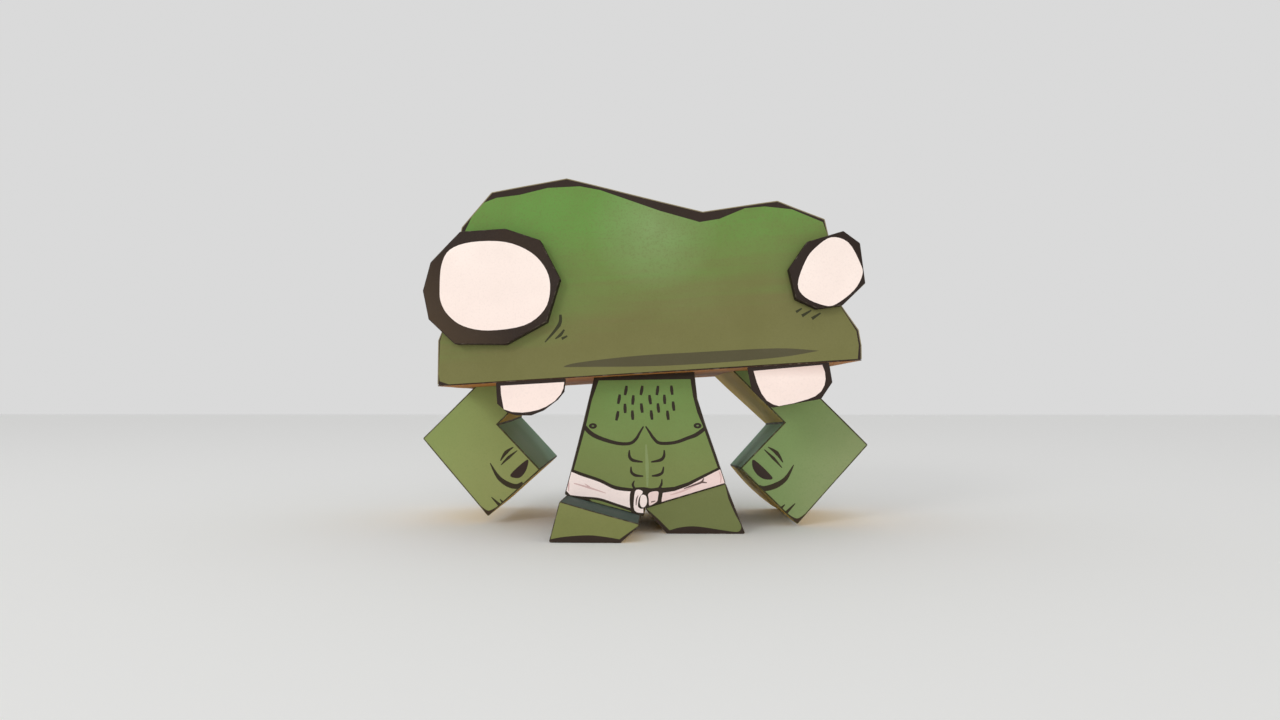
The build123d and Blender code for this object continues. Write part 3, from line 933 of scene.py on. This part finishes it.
belt_left_dark = smooth([(-29.2, 14.0), (-28.9, 19.5), (-27.0, 24.2)])
belt_left_dark += smooth([(-22.1, 22.4), (-15.2, 20.0), (-9.8, 17.5), (-2.9, 16.5)])
belt_left_dark += smooth([(-3.2, 7.9), (-9.8, 10.2), (-15.7, 12.1), (-21.1, 12.8), (-25.6, 13.1)])
belt_left = smooth([(-27.9, 16.0), (-28.4, 19.0), (-27.6, 22.0), (-26.3, 22.9)])
belt_left += smooth([(-22.6, 21.3), (-15.7, 18.9), (-9.8, 16.1), (-3.6, 15.4)])
belt_left += smooth([(-4.2, 9.4), (-9.8, 11.2), (-15.7, 13.1), (-22.1, 13.7), (-26.3, 14.2)])
belt_shadow = [
    (-29.0, 14.6), (-20.0, 13.2), (-17.5, 11.3), (-10.0, 9.2), (-3.0, 7.4), (0.9, 6.2), (-29.0, 14.2),
]
belt_right_dark = [
    (6.4, 16.7), (12.0, 17.2), (17.1, 18.9), (22.5, 21.6), (26.9, 23.7), (29.6, 25.1), (31.5, 18.0),
    (5.0, 9.5),
]
belt_right_pale = [
    (7.4, 14.9), (12.2, 15.7), (17.1, 17.5), (22.5, 20.4), (26.9, 22.7), (29.1, 23.7), (30.1, 22.1),
    (30.6, 18.7), (7.3, 11.6),
]
knot_dark = smooth([
    (-4.1, 15.9), (0.0, 17.0), (3.5, 16.6), (7.5, 16.9), (7.6, 14.2), (6.6, 10.8), (3.8, 9.0), (2.7, 8.6),
    (3.5, 6.6), (-2.4, 6.9), (-4.3, 9.0),
], closed=True)
knot_loop = smooth([
    (-2.5, 15.5), (-1.2, 16.1), (0.2, 15.5), (0.0, 14.6), (-1.1, 13.0), (-1.5, 10.2), (-0.5, 9.2), (1.1, 9.1),
    (2.6, 7.4), (0.4, 7.6), (-1.9, 7.9), (-3.0, 9.2), (-3.0, 12.2),
], closed=True)
knot_middle = smooth([
    (-0.3, 14.0), (1.1, 14.1), (1.8, 12.9), (1.7, 10.9), (0.7, 9.7), (-0.4, 10.0), (-0.8, 11.6),
], closed=True)
knot_right = smooth([
    (2.3, 14.4), (3.5, 15.3), (6.0, 15.4), (5.9, 13.2), (5.6, 11.9), (4.2, 10.9), (2.7, 10.4), (2.5, 12.7),
], closed=True)
belt_folds = [
    stroke([(15.5, 16.5), (19.0, 17.8), (21.9, 18.9), (22.7, 20.3)], (0.3, 0.6, 0.8, 0.4)),
    stroke([(21.9, 18.9), (23.9, 18.7)], (0.8, 0.3)),
    stroke([(3.4, 11.6), (5.0, 12.0)], (0.5, 0.3)),
    stroke([(-2.2, 10.4), (-2.0, 12.6), (-1.4, 14.0)], (0.3, 0.5, 0.2)),
]
belt_creases = [
    stroke([(-25.0, 18.5), (-19.5, 16.9), (-13.2, 14.8)], (0.3, 0.7, 0.2)),
    stroke([(-21.0, 18.3), (-19.2, 17.1)], (0.2, 0.6)),
    stroke([(-27.3, 21.2), (-26.9, 18.2), (-26.9, 15.6)], (0.3, 0.6, 0.3)),
    stroke([(28.2, 22.9), (29.0, 20.9), (28.8, 18.6)], (0.3, 0.6, 0.3)),
    stroke([(10.5, 14.2), (15.2, 15.7), (20.4, 18.0)], (0.3, 0.7, 0.3)),
]
torso_prints = [(torso_field, torso_green), (chest_painted_highlight, torso_painted_highlight)]
torso_prints += [(line, torso_line) for line in chest_lines + muscle_lines + dashes]
for centre in ring_centres:
    torso_prints += [(oval(centre, ring_half), torso_line), (oval(centre, ring_middle_half), ring_middle)]
torso_prints += [
    (belt_shadow, torso_line), (belt_left_dark, torso_line), (belt_left, belt_pale),
    (belt_right_dark, torso_line), (belt_right_pale, belt_right), (knot_dark, torso_line),
    (knot_loop, belt_pale), (knot_middle, belt_pale), (knot_right, belt_right),
]
torso_prints += [(line, belt_crease) for line in belt_creases]
torso_prints += [(line, belt_shade) for line in belt_folds]


def torso_wall(facing):
    """Ink of a torso wall from the way it faces: painted cool light if it faces up, painted warm light if
    not.
    """
    return arm_upward_painted_light if facing.y > upward_facing else arm_downward_painted_light


box_of_card(
    "torso", torso_corners, depth_levels(torso_front, torso_front + torso_depth), fields=torso_prints,
    base=torso_line, walls=torso_wall, fold=torso_fold, back=torso_green, sharp=torso_unfolded,
)

# Legs: two closed boxes glued under the slanting bottom of the torso, the left one a step ahead.
# Folded card, green in front with a dark toe line, teal painted light from above on the slanting tops, flat
# on their soles.
left_leg_ink = printed_card("left_leg_green", (121, 125, 72), paper=0.06)
right_leg_ink = printed_card("right_leg_green", (112, 119, 71), paper=0.06)
leg_top_painted_light = printed_card("leg_top_painted_skylight", (72, 90, 84), paper=0.06)
toe_shade = printed_card("toe_shade", (52, 40, 32), paper=0.03)
leg_fold = worn_fold("leg_folds", (62, 52, 40), wear=0.15)
sole_facing = -0.9
left_leg_depth = (-54.5, 11.5)
left_leg_corners = [(-31.5, 0.0), (-6.9, 0.0), (0.2, 6.5), (-27.8, 14.14)]
left_leg_toe_line = smooth([(-7.2, 1.4), (-12.0, 2.2), (-17.7, 2.7), (-25.8, 2.1), (-30.9, 1.2)])
right_leg_depth = (-32.7, 32.5)
right_leg_corners = [(9.2, 0.0), (38.0, 0.0), (30.8, 18.4), (0.8, 9.4)]
right_leg_toe_line = smooth([
    (31.8, 12.8), (34.2, 7.4), (36.3, 3.4), (36.3, 1.8), (35.3, 0.9), (33.5, 0.9), (29.3, 1.5), (22.5, 2.5),
    (18.1, 2.8), (13.7, 2.3), (10.2, 1.3),
])


def leg_wall(facing):
    """Ink of a leg wall from the way it faces: painted light from above on tops, the dark toe ink on soles
    and painted warm light on the rest.
    """
    if facing.y > upward_facing:
        return leg_top_painted_light
    return toe_shade if facing.y < sole_facing else arm_downward_painted_light


def leg(name, corners, depth, field, ink):
    """One leg box, with its ink printed inside a dark edge."""
    box_of_card(
        name, corners, depth_levels(*depth), fields=[(field, ink)],
        base=toe_shade, walls=leg_wall, fold=leg_fold, back=ink,
    )


left_leg_field = [(-27.6, 14.0), (-0.2, 6.4)] + left_leg_toe_line
right_leg_field = [(1.6, 9.2), (30.5, 18.2)] + right_leg_toe_line + [(5.9, 5.5)]
leg("left_leg", left_leg_corners, left_leg_depth, left_leg_field, left_leg_ink)
leg("right_leg", right_leg_corners, right_leg_depth, right_leg_field, right_leg_ink)

# Floor: a plain pale table top that the toy stands on.
# It is wide enough to meet the backdrop softly. Sizes from here on are in metres.
floor_reach = 3
floor_ink = (0.9, 0.9, 0.89, 1)
floor_roughness = 0.9
floor_gloss = 0.05
floor_corners = [(-floor_reach, -floor_reach, 0), (floor_reach, -floor_reach, 0),
                 (floor_reach, floor_reach, 0), (-floor_reach, floor_reach, 0)]
floor_material = bpy.data.materials.new("pale_floor")
floor_material.use_nodes = True
floor_shader = floor_material.node_tree.nodes["Principled BSDF"]
floor_shader.inputs["Base Color"].default_value = floor_ink
floor_shader.inputs["Roughness"].default_value = floor_roughness
floor_shader.inputs["Specular IOR Level"].default_value = floor_gloss
floor_mesh = bpy.data.meshes.new("floor")
floor_mesh.from_pydata(floor_corners, [], [(0, 1, 2, 3)])
floor_mesh.materials.append(floor_material)
floor = bpy.data.objects.new("floor", floor_mesh)
bpy.context.scene.collection.objects.link(floor)

# Light: the soft light of a plain studio, from two square lamps and the room itself.
# A lamp from the upper left throws the eyes' shadows, and a low one in front lights what is under the head.
# Behind the toy the camera and glossy surfaces see a plain grey backdrop.
room_grey = (0.95, 0.95, 0.95, 1)
room_strength = 0.74
backdrop_grey = (0.7, 0.7, 0.7, 1)


def lamp(name, position, target, power, width):
    """A square soft lamp that points at a place."""
    light = bpy.data.lights.new(name, "AREA")
    light.energy = power
    light.size = width
    holder = bpy.data.objects.new(name, light)
    holder.location = position
    holder.rotation_euler = (Vector(target) - Vector(position)).to_track_quat("-Z", "Y").to_euler()
    bpy.context.scene.collection.objects.link(holder)


lamp("key_lamp", position=(-0.75, -1.25, 0.65), target=(0, 0, 0.06), power=4.4, width=0.4)
lamp("fill_lamp", position=(0.25, -1.6, 0.22), target=(0, 0, 0.05), power=5.2, width=0.5)
world = bpy.data.worlds.new("plain_room")
world.use_nodes = True
world_nodes = world.node_tree.nodes
world_links = world.node_tree.links
room = world_nodes["Background"]
room.inputs["Color"].default_value = room_grey
room.inputs["Strength"].default_value = room_strength
backdrop = world_nodes.new("ShaderNodeBackground")
backdrop.inputs["Color"].default_value = backdrop_grey
ray = world_nodes.new("ShaderNodeLightPath")
seen = world_nodes.new("ShaderNodeMath")
seen.operation = "MAXIMUM"
world_links.new(ray.outputs["Is Camera Ray"], seen.inputs[0])
world_links.new(ray.outputs["Is Glossy Ray"], seen.inputs[1])
either = world_nodes.new("ShaderNodeMixShader")
world_links.new(seen.outputs[0], either.inputs[0])
world_links.new(room.outputs[0], either.inputs[1])
world_links.new(backdrop.outputs[0], either.inputs[2])
world_links.new(either.outputs[0], world_nodes["World Output"].inputs["Surface"])
bpy.context.scene.world = world
bpy.context.scene.view_settings.view_transform = "Standard"

# Camera: at the height of the toy's chest, looking a little up and to the left, as in the photo.
# It stands as near as the depth of the feet and the arms in the photo says, with a wide lens.
camera_lens = 24.44
camera_sensor = 36
camera_place = (0.0082, -0.3545, 0.0483)
camera_tilt = 92.77
camera_turn = 1.58
camera_data = bpy.data.cameras.new("camera")
camera_data.lens = camera_lens
camera_data.sensor_width = camera_sensor
camera = bpy.data.objects.new("camera", camera_data)
camera.location = camera_place
camera.rotation_euler = (math.radians(camera_tilt), 0, math.radians(camera_turn))
bpy.context.scene.collection.objects.link(camera)
bpy.context.scene.camera = camera
